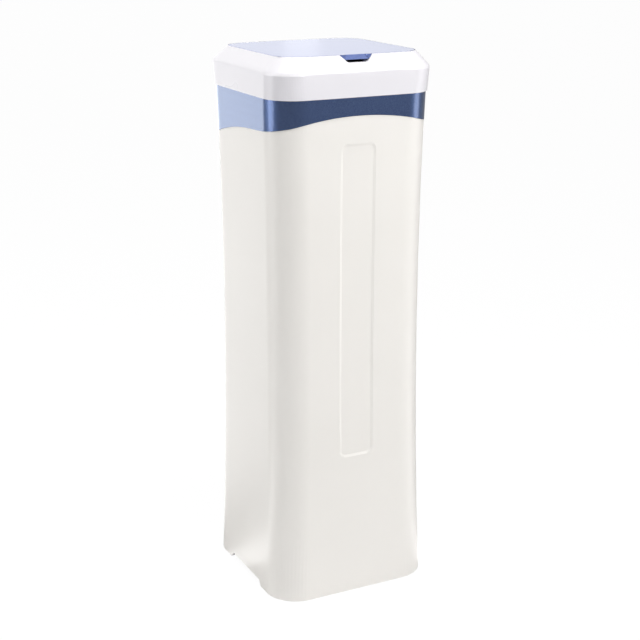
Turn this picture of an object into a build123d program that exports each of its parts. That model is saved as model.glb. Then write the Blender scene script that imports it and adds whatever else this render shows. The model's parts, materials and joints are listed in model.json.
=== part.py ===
from build123d import *
from math import acos, asin, atan2, cos, degrees, hypot, pi, radians, sin, sqrt, tan
import os

# Floor standing activated carbon filter: an hourglass cabinet around a pressure tank.
# Millimetres, +Z up, origin on the floor under the middle, front towards -Y.

# Cabinet shell
total_height = 1100.0
waist_half = 165.5
waist_height = 600.0
side_arc = 17000.0
column_steps = 8
corner_radius = 66.0
shell_wall = 4.0
trim_gap = 0.2

# Blue band and the wave it ends in
collar_seam = 1023.0
neck_step = 2.0
neck_overlap = 17.0
band_proud = 0.8
wave_crest = 993.8
wave_crest_arc = 600.0
wave_crest_reach = 125.0
wave_side_falls = [(-110, -9), (-40, -13), (40, -21.5), (110, -37)]
wave_end_reach = 165.0

# Debossed panel on the front
panel_half_width = 38.0
panel_low = 297.5
panel_high = 936.0
panel_corner = 14.5
panel_depth = 2.0
panel_slope = 5.0
rim_share = 0.95

# Foot gaps at both sides and the service opening at the back
foot_gap_length = 156.0
foot_gap_height = 12.0
foot_gap_slope = 10.0
service_width = 226.0
service_low = 905.0
service_high = 1000.0
service_corner = 12.0

# White collar with its bevel
collar_foot_half = 172.3
collar_foot_corner = 62.0
collar_shoulder_half = 174.3
collar_shoulder_corner = 59.0
collar_shoulder = 1071.0
collar_wall = 3.0
shoulder_flat = 3.0
flange_thickness = 3.0
flange_width = 20.0

# Flip lid
lid_half_width = 148.9
lid_corner = 50.0
lid_shift = -4.3
lid_gap = 0.9
lid_thickness = 3.0
lid_edge = 1.0
ledge_depth = 10.0
ledge_thickness = 2.5
ledge_width = 11.3
well_wall = 2.4
lid_ring_wall = 2.0
lid_ring_clearance = 1.1
lid_ring_depth = 7.5
lid_rib_depth = 5.0
bumper_width = 6.0
rest_gap = 0.3

# Lid hinge
hinge_setback = 6.0
hinge_drop = 2.2
hinge_tail = 3.8
hinge_spread = 80.0
knuckle_radius = 2.1
knuckle_width = 16.0
ear_width = 6.0
hinge_side_gap = 0.4
pin_radius = 1.0
pin_clearance = 0.05

# Finger notch and lid tongue
notch_top_half = 35.0
notch_low_half = 20.5
notch_depth = 13.5
notch_corner = 2.0
tongue_drop = 8.5
tongue_gap = 0.7
scoop_top_half = 20.0
scoop_setback = 3.6

# Base tray
tray_height = 14.0
tray_thickness = 4.0
tray_gap = 0.4
tray_rim = 3.0
centre_pad_radius = 60.0
boot_stop_count = 8
boot_stop_height = 12.0
boot_stop_width = 24.0
rib_thickness = 4.0
rib_end_gap = 10.0

# Screws and their bosses
boss_radius = 7.0
boss_bite = 0.9
boss_length = 30.0
screw_radius = 1.75
screw_clearance = 0.05
screw_head_radius = 3.6
screw_head_height = 2.4
screw_length = 18.0
foot_boss_radius = 9.0
foot_screw_recess = 6.0
screw_hole_gap = 0.3
screw_head_gap = 1.0
screw_tip_gap = 2.0

# Pressure tank and boot
tank_radius = 128.5
tank_length = 861.0
tank_dome = 84.0
dome_steps = 2
tank_wall = 4.0
neck_radius = 45.0
neck_rise = 10.0
insert_radius = 40.0
insert_bore = 37.0
insert_length = 27.0
thread_gap = 0.1
boot_wall = 4.2
boot_floor = 6.0
boot_height = 102.0
fill_gap = 0.3

# Riser, distributors and the filter media
riser_radius = 13.35
riser_wall = 2.0
riser_foot = 24.0
riser_reach = 22.0
distributor_radius = 24.0
distributor_length = 80.0
strainer_wall = 2.5
slot_width = 1.8
slot_count = 12
slot_overrun = 1.0
cut_overrun = 1.0
basket_radius = 30.0
basket_length = 35.0
basket_flange = 3.0
basket_fit = 1.0
gravel_depth = 90.0
carbon_depth = 580.0

# Valve body and its ports
valve_neck_length = 22.0
valve_flange_radius = 50.0
valve_flange_thickness = 8.0
valve_waist_radius = 42.0
port_height = 55.0
port_spread = 35.0
port_bore = 11.0
port_block_half_width = 62.0
port_block_front = 40.0
port_block_back = 62.0
port_block_half_height = 23.0
block_corner = 12.0
block_edge = 2.0
stub_radius = 20.0
stub_length = 13.0
chamber_radius = 33.0
chamber_wall = 13.0
chamber_floor = 67.0
chamber_depth = 28.0
annulus_inner = 18.0
annulus_outer = 29.0

# Ceramic discs, shaft and bonnet
disc_thickness = 8.0
disc_gap = 0.2
disc_port_radius = 5.0
disc_port_reach = 18.0
carrier_inset = 2.0
shaft_overrun = 1.0
carrier_thickness = 6.0
shaft_radius = 7.0
running_gap = 0.05
bonnet_thickness = 10.0
bonnet_spigot = 5.5
bonnet_boss_radius = 14.0
bonnet_boss_height = 4.0
bonnet_screw_reach = 41.0
bonnet_screw_radius = 2.5
bonnet_screw_head = 4.2
bonnet_screw_length = 16.0
bonnet_screw_count = 6
seal_section = 2.0
seal_width = 2.5
seal_squeeze = 0.05
seal_seat = 1.0
groove_levels = (2.5, 6.5)
screw_seat_gap = 1.0

# Gear drive
gear_module = 1.25
gear_teeth = 56
pinion_teeth = 16
pressure_angle = 20.0
gear_backlash = 0.14
tooth_addendum = 0.8
tooth_dedendum = 1.05
gear_thickness = 6.0
gear_rise = 6.0
gear_rim = 4.0
gear_web = 2.5
gear_windows = 6
window_width = 10.0
pinion_overlap = 0.5
motor_shaft_radius = 2.5
motor_shaft_reach = 12.0
motor_radius = 14.0
motor_shaft_hole = 5.0
gearbox_height = 14.0
motor_can_radius = 12.0
motor_can_height = 19.0
motor_ear = 4.0
motor_screw_radius = 1.5
motor_screw_head = 2.8
motor_screw_head_height = 2.0

# Head base and cover with its tilted panel
base_rise = 16.0
base_thickness = 2.5
pillar_radius = 4.0
plate_hole_inset = 14.0
cover_half_width = 85.0
cover_front = 95.0
cover_back = 70.0
cover_front_height = 38.0
cover_height = 70.0
cover_slope_run = 85.0
cover_wall = 2.5
cover_ledge_walls = 1.5
cover_corner = 12.0
cover_edge = 2.0
cover_skirt = 8.0
lens_width = 66.0
lens_depth = 34.0
lens_thickness = 1.6
lens_seat = 2.0
lens_shift = 13.0
board_width = 146.0
board_depth = 64.0
board_thickness = 1.6
board_drop = 12.0
board_inset = 5.0
button_width = 17.0
button_depth = 9.0
button_edge = 0.8
button_stem = 4.0
button_gap = 0.4
button_rise = 2.0
button_travel = 1.2
button_spacing = 26.0
button_shift = -22.0
button_flange = 1.5
switch_height = 3.5
switch_size = 6.0

# Connectors
connector_thread_radius = 16.6
connector_thread_length = 34.0
connector_barrel_radius = 14.0
connector_flange_radius = 19.2
connector_flange_thickness = 4.0
connector_hex = 38.0
connector_hex_length = 12.0
nut_radius = 24.5
nut_lip = 4.0
nut_sides = 12
nut_grip = 10.4
gasket_inset = 0.5
gasket_thickness = 2.0
drain_radius = 6.35
drain_bore = 4.2
drain_socket_radius = 9.0
drain_side_reach = 26.0
drain_back_reach = 95.0
drain_neck_inset = 1.5
drain_collar_width = 2.0
drain_port_wall = 3.0
clip_lift = 1.0
socket_radius = 6.0
socket_plate = 15.0
socket_plate_thickness = 1.5
socket_shift = -55.0
socket_bore = 2.8
socket_pin = 0.8
socket_depth = 9.0

# Sides of the screws and their holes, which are drawn as plain prisms
round_screw_sides = 8

os.makedirs("parts", exist_ok=True)


def keep(block, name):
    block.part.label = name
    export_step(block.part, f"parts/{name}.step")


def skin_half(height, inset=0.0):
    """Half the width of the hourglass at a height, drawn in by inset."""
    radius = side_arc + inset
    return waist_half - inset + radius - sqrt(radius**2 - (height - waist_height) ** 2)


foot_half = skin_half(0)


def column(inset, low, high):
    """The hourglass column between two heights, ruled between rounded squares, drawn in by inset."""
    with BuildPart() as block:
        for step in range(column_steps + 1):
            height = total_height * step / column_steps
            side = 2 * skin_half(height, inset)
            with BuildSketch(Plane.XY.offset(height)):
                RectangleRounded(side, side, corner_radius - inset)
        loft(ruled=True)
        with Locations((0, 0, (low + high) / 2)):
            Box(3 * foot_half, 3 * foot_half, high - low, mode=Mode.INTERSECT)
    return block.part


def above_wave(lift):
    """All the space above the wave, which swells at the front and falls away to the back."""
    reach = 1.2 * foot_half
    sky = total_height * 1.1
    crest = wave_crest + lift
    crest_end = crest - wave_crest_arc + sqrt(wave_crest_arc**2 - wave_crest_reach**2)
    turn = asin(wave_crest_reach / wave_crest_arc)
    end_arc = (wave_end_reach - wave_crest_reach) / sin(turn)
    with BuildPart() as space:
        with BuildSketch(Plane.XZ.offset(reach)) as profile:
            with BuildLine():
                left_end, right_end = (-wave_crest_reach, crest_end), (wave_crest_reach, crest_end)
                swell = ThreePointArc(left_end, (0, crest), right_end)
                right = JernArc(swell @ 1, swell % 1, end_arc, degrees(turn))
                left = JernArc(swell @ 0, (swell % 0) * -1, end_arc, -degrees(turn))
                shelf = (right @ 1).Y
                Polyline(right @ 1, (reach, shelf), (reach, sky), (-reach, sky), (-reach, shelf), left @ 1)
            make_face()
        with BuildLine(Plane.YZ) as path:
            Spline((-reach, 6), (-reach * 0.8, 0), *wave_side_falls, (reach, -71))
        sweep(sections=profile.sketch, path=path.wires()[0], normal=(0, 1, 0))
    return space.part


def corner_seats(height, radius):
    """The four places where a boss of this radius bites into the shell's rounded corners."""
    arc_centre = skin_half(height) - corner_radius
    out = arc_centre + (corner_radius - shell_wall - radius + boss_bite) / sqrt(2)
    return GridLocations(2 * out, 2 * out, 2, 2)


# Cabinet
neck_top = collar_seam + neck_overlap
tray_top = tray_height + tray_thickness

with BuildPart() as cabinet_body:
    add(column(0, 0, neck_top))
    add(above_wave(0), mode=Mode.SUBTRACT)
    add(column(neck_step, 0, neck_top))
    add(column(shell_wall, 0, neck_top), mode=Mode.SUBTRACT)
    # Front panel, pressed in along the curve of the wall, with its rim sloped
    with BuildSketch(Plane.XZ.offset(waist_half * 0.9)):
        with Locations((0, (panel_low + panel_high) / 2)):
            RectangleRounded(
                2 * (panel_half_width - panel_slope),
                panel_high - panel_low - 2 * panel_slope,
                panel_corner - panel_slope,
            )
    pocket = extrude(amount=waist_half / 4, mode=Mode.PRIVATE) - column(panel_depth, 0, neck_top)
    add(pocket, mode=Mode.SUBTRACT)
    rim = (
        cabinet_body.edges()
        .filter_by(lambda edge: edge.center().Y < 0 and panel_low < edge.center().Z < panel_high)
        .filter_by(lambda edge: abs(edge.center().X) < panel_half_width)
        .filter_by(lambda edge: abs(edge.center().Y + skin_half(edge.center().Z)) < panel_depth / 2)
    )
    chamfer(rim, length=panel_slope, length2=panel_depth * rim_share)
    # Foot gaps
    with BuildSketch(Plane.YZ) as foot_gap:
        with BuildLine():
            Polyline(
                (-foot_gap_length / 2, 0),
                (foot_gap_slope - foot_gap_length / 2, foot_gap_height),
                (foot_gap_length / 2 - foot_gap_slope, foot_gap_height),
                (foot_gap_length / 2, 0),
                close=True,
            )
        make_face()
    extrude(amount=1.1 * foot_half, both=True, mode=Mode.SUBTRACT)
    # Service opening at the back
    with BuildSketch(Plane.XZ) as service_opening:
        with Locations((0, (service_low + service_high) / 2)):
            RectangleRounded(service_width, service_high - service_low, service_corner)
    extrude(amount=-1.1 * foot_half, mode=Mode.SUBTRACT)
    # Screw bosses in the corners, above for the collar and below for the tray, with their holes
    for height, way in ((neck_top, -1), (tray_top, 1)):
        for radius, length, mode in (
            (boss_radius, boss_length, Mode.ADD),
            (screw_radius + screw_clearance, screw_length, Mode.SUBTRACT),
        ):
            with BuildSketch(Plane.XY.offset(height)):
                with corner_seats(height, boss_radius):
                    RegularPolygon(radius, round_screw_sides)
            extrude(amount=way * length, mode=mode)
keep(cabinet_body, "cabinet_body")

with BuildPart() as blue_band:
    add(above_wave(trim_gap))
    add(column(-band_proud, 0, collar_seam - trim_gap), mode=Mode.INTERSECT)
    add(column(neck_step - trim_gap, 0, total_height), mode=Mode.SUBTRACT)
    add(extrude(service_opening.sketch, amount=-1.1 * foot_half, mode=Mode.PRIVATE), mode=Mode.SUBTRACT)
keep(blue_band, "blue_band")

# Base tray
boot_radius = tank_radius + fill_gap + boot_wall

with BuildPart() as base_tray:
    add(column(shell_wall + tray_gap, 0, tray_top))
    add(column(shell_wall + tray_gap + tray_rim, 0, tray_height), mode=Mode.SUBTRACT)
    with BuildSketch(Plane.YZ):
        add(foot_gap.sketch_local)
        offset(amount=tray_gap, kind=Kind.INTERSECTION)
    extrude(amount=1.1 * foot_half, both=True, mode=Mode.SUBTRACT)
    with BuildSketch(Plane.XY):
        RegularPolygon(centre_pad_radius, round_screw_sides)
        with Locations(Rotation(0, 0, 45), Rotation(0, 0, -45)):
            Rectangle(2 * (foot_half - corner_radius / 2) * sqrt(2) - 2 * rib_end_gap, rib_thickness)
        with corner_seats(0, boss_radius):
            RegularPolygon(foot_boss_radius, round_screw_sides)
    extrude(amount=tray_height)
    with BuildSketch(Plane.XY.offset(tray_thickness)):
        RegularPolygon(centre_pad_radius - tray_rim, round_screw_sides)
    extrude(amount=tray_height - tray_thickness, mode=Mode.SUBTRACT)
    # Stops that hold the boot in the middle
    with Locations((0, 0, tray_top + boot_stop_height / 2)):
        with PolarLocations(boot_radius + fill_gap + tray_rim / 2, boot_stop_count):
            Box(tray_rim, boot_stop_width, boot_stop_height)
    # Recesses for the screw heads and the holes through the plate
    for radius, depth in (
        (screw_head_radius + screw_head_gap, foot_screw_recess),
        (screw_radius + screw_hole_gap, tray_top),
    ):
        with BuildSketch(Plane.XY):
            with corner_seats(tray_top, boss_radius):
                RegularPolygon(radius, round_screw_sides)
        extrude(amount=depth, mode=Mode.SUBTRACT)
    add(column(shell_wall + tray_gap, 0, total_height), mode=Mode.INTERSECT)
keep(base_tray, "base_tray")


def corner_screws(seat, way, length, height):
    """Four screws at the corner bosses, their heads on a seat and their shanks going the given way."""
    with BuildPart() as screws:
        for radius, amount in ((screw_head_radius, -way * screw_head_height), (screw_radius, way * length)):
            with BuildSketch(Plane.XY.offset(seat)):
                with corner_seats(height, boss_radius):
                    RegularPolygon(radius, round_screw_sides)
            extrude(amount=amount)
    return screws


base_screws = corner_screws(
    foot_screw_recess, 1, tray_top - foot_screw_recess + screw_length - screw_tip_gap, tray_top
)
keep(base_screws, "base_screws")

# Collar
well_half = lid_half_width + lid_gap
well_back = well_half + lid_shift
well_front = well_half - lid_shift
ledge_top = total_height - ledge_depth
bevel_rise = total_height - collar_shoulder
bevel_run = collar_shoulder_half - well_half
bevel_drop = collar_wall * hypot(bevel_rise, bevel_run) / bevel_run


def collar_ring(height, half, corner, shift=0.0):
    """A rounded square at a height, for the collar's lofts."""
    with BuildSketch(Plane.XY.offset(height)) as ring:
        with Locations((0, shift)):
            RectangleRounded(2 * half, 2 * half, corner)
    return ring.sketch


def collar_block(inset, low, shoulder, high):
    """A flared skirt below the shoulder and a bevel above it, as a full solid."""
    foot = collar_ring(low, collar_foot_half - inset, collar_foot_corner - inset)
    middle = collar_ring(shoulder, collar_shoulder_half - inset, collar_shoulder_corner - inset)
    mouth = collar_ring(high, well_half, lid_corner + lid_gap, lid_shift)
    with BuildPart() as block:
        loft(sections=[foot, middle], ruled=True)
        loft(sections=[middle, mouth], ruled=True)
    return block


def outer_collar():
    """The collar's outer form, with the edge of its shoulder taken off."""
    with collar_block(0, collar_seam, collar_shoulder, total_height) as block:
        shoulder = block.edges().filter_by(lambda edge: abs(edge.center().Z - collar_shoulder) < trim_gap)
        chamfer(shoulder, shoulder_flat)
    return block.part


def notch_outline(shrink, low):
    """The notch's trapezoid on the front plane, drawn in by shrink and ending at low."""
    slope = (notch_top_half - notch_low_half) / notch_depth
    low_half = notch_top_half - slope * (total_height - low) - shrink
    high_half = notch_top_half - shrink + slope
    with BuildSketch(Plane.XZ) as outline:
        with BuildLine():
            Polyline(
                (high_half, total_height + cut_overrun),
                (low_half, low),
                (-low_half, low),
                (-high_half, total_height + cut_overrun),
                close=True,
            )
        make_face()
        chamfer(outline.vertices().group_by(Axis.Z)[0], notch_corner)
    return outline.sketch


def in_front_of(reach, shape):
    """The part of a shape that lies further to the front than reach."""
    with BuildPart() as cut:
        add(shape)
        with Locations((0, -reach, total_height)):
            Box(
                4 * foot_half,
                total_height,
                total_height,
                align=(Align.CENTER, Align.MIN, Align.CENTER),
                mode=Mode.SUBTRACT,
            )
    return cut.part


hinge_y = well_back - hinge_setback
hinge_z = total_height - hinge_drop

with BuildPart() as top_collar:
    add(outer_collar())
    hollow_shoulder = collar_shoulder - collar_wall / 2
    add(
        collar_block(collar_wall, collar_seam, hollow_shoulder, total_height - bevel_drop).part,
        mode=Mode.SUBTRACT,
    )
    # Well wall and ledge that frame the lid
    with BuildSketch(Plane.XY.offset(ledge_top - ledge_thickness)):
        with Locations((0, lid_shift)):
            well_outside = 2 * (well_half + well_wall)
            RectangleRounded(well_outside, well_outside, lid_corner + lid_gap + well_wall)
    extrude(amount=ledge_depth + ledge_thickness - bevel_drop / 2)
    with BuildSketch(Plane.XY.offset(ledge_top)):
        with Locations((0, lid_shift)):
            RectangleRounded(2 * well_half, 2 * well_half, lid_corner + lid_gap)
    extrude(amount=ledge_depth, mode=Mode.SUBTRACT)
    with BuildSketch(Plane.XY.offset(collar_seam)):
        with Locations((0, lid_shift)):
            ledge_inside = 2 * (well_half - ledge_width)
            RectangleRounded(ledge_inside, ledge_inside, lid_corner - ledge_width)
    extrude(amount=total_height - collar_seam, mode=Mode.SUBTRACT)
    # Solid cheek behind the bevel, with the finger notch cut in it
    with Locations((0, -(well_front + collar_shoulder_half) / 2, ledge_top)):
        cheek = Box(
            2 * (notch_top_half + shoulder_flat + notch_corner),
            collar_shoulder_half - well_front,
            notch_depth + 2 * notch_corner,
            mode=Mode.PRIVATE,
        )
    add(cheek & outer_collar())
    notch = extrude(
        notch_outline(0, total_height - notch_depth), amount=1.1 * collar_shoulder_half, mode=Mode.PRIVATE
    )
    add(in_front_of(well_front - ledge_width - trim_gap, notch), mode=Mode.SUBTRACT)
    # Flange that rests on the cabinet's neck and takes the screws
    with BuildSketch(Plane.XY.offset(neck_top)):
        RectangleRounded(
            2 * (collar_foot_half - collar_wall / 2),
            2 * (collar_foot_half - collar_wall / 2),
            collar_foot_corner - collar_wall / 2,
        )
        RectangleRounded(
            2 * (collar_foot_half - flange_width),
            2 * (collar_foot_half - flange_width),
            collar_foot_corner - flange_width,
            mode=Mode.SUBTRACT,
        )
        with corner_seats(neck_top, boss_radius):
            RegularPolygon(boss_radius, round_screw_sides)
            RegularPolygon(screw_radius + screw_hole_gap, round_screw_sides, mode=Mode.SUBTRACT)
    extrude(amount=flange_thickness)
    # Round relief in the well's back corners, which the lid's corners swing through
    relief_start = lid_half_width - lid_corner
    relief_reach = sqrt(lid_corner**2 - (lid_corner - hinge_tail - hinge_drop) ** 2) + lid_gap
    for side in (-1, 1):
        with BuildSketch(Plane.YZ.offset(side * relief_start)):
            with Locations((hinge_y, hinge_z)):
                Circle(hinge_drop * sqrt(2) + lid_gap / 2)
        extrude(amount=side * relief_reach, mode=Mode.SUBTRACT)
    # Hinge ears on the ledge
    for side in (-1, 1):
        for hand in (-1, 1):
            ear_x = side * hinge_spread + hand * (knuckle_width / 2 + hinge_side_gap + ear_width / 2)
            with BuildSketch(Plane.YZ.offset(ear_x)):
                with Locations((hinge_y, hinge_z)):
                    RegularPolygon(knuckle_radius, round_screw_sides, rotation=180 / round_screw_sides)
                with Locations((hinge_y - knuckle_radius * cos(pi / 8), ledge_top - ledge_thickness / 2)):
                    Rectangle(
                        knuckle_radius * cos(pi / 8) + hinge_setback + well_wall / 2,
                        hinge_z - ledge_top + ledge_thickness / 2,
                        align=(Align.MIN, Align.MIN),
                    )
            extrude(amount=ear_width / 2, both=True)
    with BuildSketch(Plane.YZ):
        with Locations((hinge_y, hinge_z)):
            Circle(pin_radius + pin_clearance)
    extrude(amount=hinge_spread + knuckle_width, both=True, mode=Mode.SUBTRACT)
keep(top_collar, "top_collar")

collar_screws = corner_screws(
    neck_top + flange_thickness, -1, flange_thickness + screw_length - screw_tip_gap, neck_top
)
keep(collar_screws, "collar_screws")

# Lid
lid_low = total_height - lid_thickness
lid_front = well_front - lid_gap
lid_back = hinge_y + hinge_tail
ring_half = well_half - ledge_width - lid_ring_clearance

with BuildPart() as flip_lid:
    with BuildSketch(Plane.XY.offset(lid_low)):
        with Locations((0, (lid_back - lid_front) / 2)):
            RectangleRounded(2 * lid_half_width, lid_back + lid_front, lid_corner)
    extrude(amount=lid_thickness)
    chamfer(flip_lid.faces().sort_by(Axis.Z)[-1].edges(), lid_edge)
    # Locating ring and ribs beneath
    with BuildSketch(Plane.XY.offset(lid_low)) as ring:
        with Locations((0, lid_shift)):
            Rectangle(2 * ring_half, 2 * ring_half)
        chamfer(ring.vertices(), lid_corner - ledge_width)
        offset(amount=-lid_ring_wall, mode=Mode.SUBTRACT)
    extrude(amount=-lid_ring_depth)
    with BuildSketch(Plane.XY.offset(lid_low)):
        with Locations((0, lid_shift)):
            with GridLocations(0, ring_half * 2 / 3, 1, 2):
                Rectangle(2 * ring_half - lid_ring_wall, lid_ring_wall)
            with GridLocations(ring_half * 2 / 3, 0, 2, 1):
                Rectangle(lid_ring_wall, 2 * ring_half - lid_ring_wall)
    extrude(amount=-lid_rib_depth)
    # Knuckles, and the cuts that clear the collar's ears
    for side in (-1, 1):
        with BuildSketch(Plane.YZ.offset(side * hinge_spread)):
            with Locations((hinge_y, hinge_z)):
                RegularPolygon(knuckle_radius, round_screw_sides, rotation=180 / round_screw_sides)
            with Locations((hinge_y - knuckle_radius * 2, lid_low - knuckle_radius / 2)):
                Rectangle(knuckle_radius * 2, knuckle_radius, align=(Align.MIN, Align.MIN))
        extrude(amount=knuckle_width / 2, both=True)
        for hand in (-1, 1):
            ear_x = side * hinge_spread + hand * (knuckle_width / 2 + hinge_side_gap + ear_width / 2)
            with Locations((ear_x, hinge_y - knuckle_radius - tongue_gap, lid_low)):
                Box(
                    ear_width + 2 * hinge_side_gap,
                    lid_back,
                    3 * lid_thickness,
                    align=(Align.CENTER, Align.MIN, Align.CENTER),
                    mode=Mode.SUBTRACT,
                )
    with BuildSketch(Plane.YZ):
        with Locations((hinge_y, hinge_z)):
            Circle(pin_radius + pin_clearance)
    extrude(amount=hinge_spread + knuckle_width, both=True, mode=Mode.SUBTRACT)
    # Tongue in the notch, with the scoop for a fingertip
    tongue = extrude(
        notch_outline(tongue_gap, total_height - tongue_drop),
        amount=1.1 * collar_shoulder_half,
        mode=Mode.PRIVATE,
    )
    tongue = in_front_of(lid_front - scoop_setback - lid_ring_wall, tongue)
    add(tongue & outer_collar().translate((0, tongue_gap, -tongue_gap)))
    notch_spread = notch_top_half - notch_low_half
    low_half = notch_low_half + notch_spread * (notch_depth - tongue_drop) / notch_depth
    with BuildSketch(Plane.XY.offset(total_height + trim_gap)) as scoop_top:
        with BuildLine():
            Polyline(
                (-notch_top_half, -lid_front - tongue_drop),
                (-scoop_top_half, -lid_front + scoop_setback),
                (scoop_top_half, -lid_front + scoop_setback),
                (notch_top_half, -lid_front - tongue_drop),
                close=True,
            )
        make_face()
    with BuildSketch(Plane.XY.offset(total_height - tongue_drop)) as scoop_low:
        with BuildLine():
            Polyline(
                (-low_half, -lid_front - 2 * tongue_drop),
                (scoop_setback / 2 - low_half, scoop_setback - lid_front - tongue_drop),
                (low_half - scoop_setback / 2, scoop_setback - lid_front - tongue_drop),
                (low_half, -lid_front - 2 * tongue_drop),
                close=True,
            )
        make_face()
    loft(sections=[scoop_top.sketch, scoop_low.sketch], ruled=True, mode=Mode.SUBTRACT)
keep(flip_lid, "flip_lid")

with BuildPart() as hinge_pins:
    for side in (-1, 1):
        with BuildSketch(Plane.YZ.offset(side * hinge_spread)):
            with Locations((hinge_y, hinge_z)):
                Circle(pin_radius)
        extrude(amount=knuckle_width / 2 + hinge_side_gap + ear_width, both=True)
keep(hinge_pins, "hinge_pins")

with BuildPart() as lid_bumpers:
    with BuildSketch(Plane.XY.offset(ledge_top)):
        with GridLocations(2 * well_half - ledge_width, well_half, 2, 2):
            Rectangle(bumper_width, 2 * bumper_width)
    extrude(amount=lid_low - rest_gap - ledge_top)
keep(lid_bumpers, "lid_bumpers")

# Pressure tank, its boot and its neck insert
tank_low = tray_top + boot_floor
dome_top = tank_low + tank_length
neck_face = dome_top + neck_rise


def tank_half(grow):
    """Half of the tank's outline in the XZ plane, grown all round, its domes in straight runs."""
    dome = tank_dome + grow
    low, high = tank_low - grow, dome_top + grow
    turns = [radians(90 * step / dome_steps) for step in range(dome_steps + 1)]
    bend = [(tank_radius - tank_dome + dome * sin(turn), dome * (1 - cos(turn))) for turn in turns]
    lower_dome = [(x, low + z) for x, z in bend]
    upper_dome = [(x, high - z) for x, z in reversed(bend)]
    outline = [(0, low), *lower_dome, *upper_dome, (0, high)]
    with BuildSketch() as half:
        with BuildLine():
            Polyline(*outline, close=True)
        make_face()
    return half.sketch


def drum(radius, low, high, bore=0.0):
    """An upright round piece on the Z axis, with a bore where one is given."""
    with BuildPart() as piece:
        with BuildSketch(Plane.XY.offset(low)):
            Circle(radius)
            if bore:
                Circle(bore, mode=Mode.SUBTRACT)
        extrude(amount=high - low)
    return piece.part


with BuildPart() as tank_boot:
    with BuildSketch(Plane.XZ):
        with Locations((0, tray_top)):
            Rectangle(boot_radius, boot_height, align=(Align.MIN, Align.MIN))
        with Locations((tank_radius - tank_dome, tray_top)):
            Rectangle(
                tank_dome + fill_gap,
                boot_height - boot_wall,
                align=(Align.MIN, Align.MIN),
                mode=Mode.SUBTRACT,
            )
        add(tank_half(fill_gap + boot_wall))
        with Locations((0, tray_top)):
            Rectangle(boot_radius, boot_height, align=(Align.MIN, Align.MIN), mode=Mode.INTERSECT)
        add(tank_half(fill_gap), mode=Mode.SUBTRACT)
    revolve(axis=Axis.Z)
keep(tank_boot, "tank_boot")

with BuildPart() as pressure_tank:
    with BuildSketch(Plane.XZ):
        add(tank_half(0))
        with Locations((0, dome_top - tank_wall)):
            Rectangle(neck_radius, neck_rise + tank_wall, align=(Align.MIN, Align.MIN))
        add(tank_half(-tank_wall), mode=Mode.SUBTRACT)
        with Locations((0, tank_low + tank_wall)):
            neck_reach = tank_length + neck_rise
            Rectangle(insert_radius, neck_reach, align=(Align.MIN, Align.MIN), mode=Mode.SUBTRACT)
    revolve(axis=Axis.Z)
keep(pressure_tank, "pressure_tank")

with BuildPart() as tank_neck_insert:
    add(drum(insert_radius - running_gap, neck_face - insert_length, neck_face, insert_bore))
keep(tank_neck_insert, "tank_neck_insert")

# Riser, strainers and the media
gravel_top = tank_low + tank_wall + gravel_depth
carbon_top = gravel_top + fill_gap + carbon_depth
distributor_low = tank_low + tank_wall + fill_gap
distributor_top = distributor_low + distributor_length
valve_low = neck_face - valve_neck_length
riser_low = distributor_low + riser_foot
riser_high = neck_face + riser_reach

with BuildPart() as riser_tube:
    add(drum(riser_radius, riser_low, riser_high, riser_radius - riser_wall))
keep(riser_tube, "riser_tube")

with BuildPart() as bottom_distributor:
    add(drum(distributor_radius, distributor_low, distributor_top))
    add(
        drum(
            distributor_radius - strainer_wall,
            distributor_low + strainer_wall,
            distributor_top - strainer_wall,
        ),
        mode=Mode.SUBTRACT,
    )
    # Socket that the riser stands in, closed off below by the strainer's floor
    add(drum(riser_radius + strainer_wall, riser_low - strainer_wall, distributor_top))
    add(drum(riser_radius + running_gap, riser_low, distributor_top), mode=Mode.SUBTRACT)
    add(drum(riser_radius - riser_wall, riser_low - strainer_wall, riser_low), mode=Mode.SUBTRACT)
    with Locations((0, 0, (distributor_low + distributor_top) / 2)):
        with PolarLocations(distributor_radius, slot_count):
            slot_height = distributor_length - 4 * strainer_wall
            Box(2 * strainer_wall + slot_overrun, slot_width, slot_height, mode=Mode.SUBTRACT)
keep(bottom_distributor, "bottom_distributor")

with BuildPart() as top_basket:
    add(drum(basket_radius, valve_low - basket_length, valve_low))
    add(
        drum(basket_radius - strainer_wall, valve_low - basket_length + strainer_wall, valve_low),
        mode=Mode.SUBTRACT,
    )
    add(drum(insert_bore - basket_fit, valve_low - basket_flange, valve_low, basket_radius - strainer_wall))
    add(drum(riser_radius + running_gap, valve_low - basket_length, valve_low), mode=Mode.SUBTRACT)
    with Locations((0, 0, valve_low - basket_length / 2 - basket_flange / 2)):
        with PolarLocations(basket_radius, slot_count):
            slot_height = basket_length - 3 * basket_flange
            Box(2 * strainer_wall + slot_overrun, slot_width, slot_height, mode=Mode.SUBTRACT)
keep(top_basket, "top_basket")

with BuildPart() as gravel_bed:
    with BuildSketch(Plane.XZ):
        add(tank_half(-tank_wall - fill_gap))
        with Locations((0, gravel_top)):
            Rectangle(tank_radius, tank_length, align=(Align.MIN, Align.MIN), mode=Mode.SUBTRACT)
        with Locations((0, tank_low)):
            Rectangle(
                distributor_radius + fill_gap, tank_length, align=(Align.MIN, Align.MIN), mode=Mode.SUBTRACT
            )
    revolve(axis=Axis.Z)
keep(gravel_bed, "gravel_bed")

with BuildPart() as carbon_bed:
    add(
        drum(tank_radius - tank_wall - fill_gap, gravel_top + fill_gap, carbon_top, riser_radius + fill_gap)
    )
keep(carbon_bed, "carbon_bed")

# Valve body
port_z = neck_face + port_height
chamber_low = neck_face + chamber_floor
chamber_top = chamber_low + chamber_depth
flange_top = neck_face + valve_flange_thickness

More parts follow.
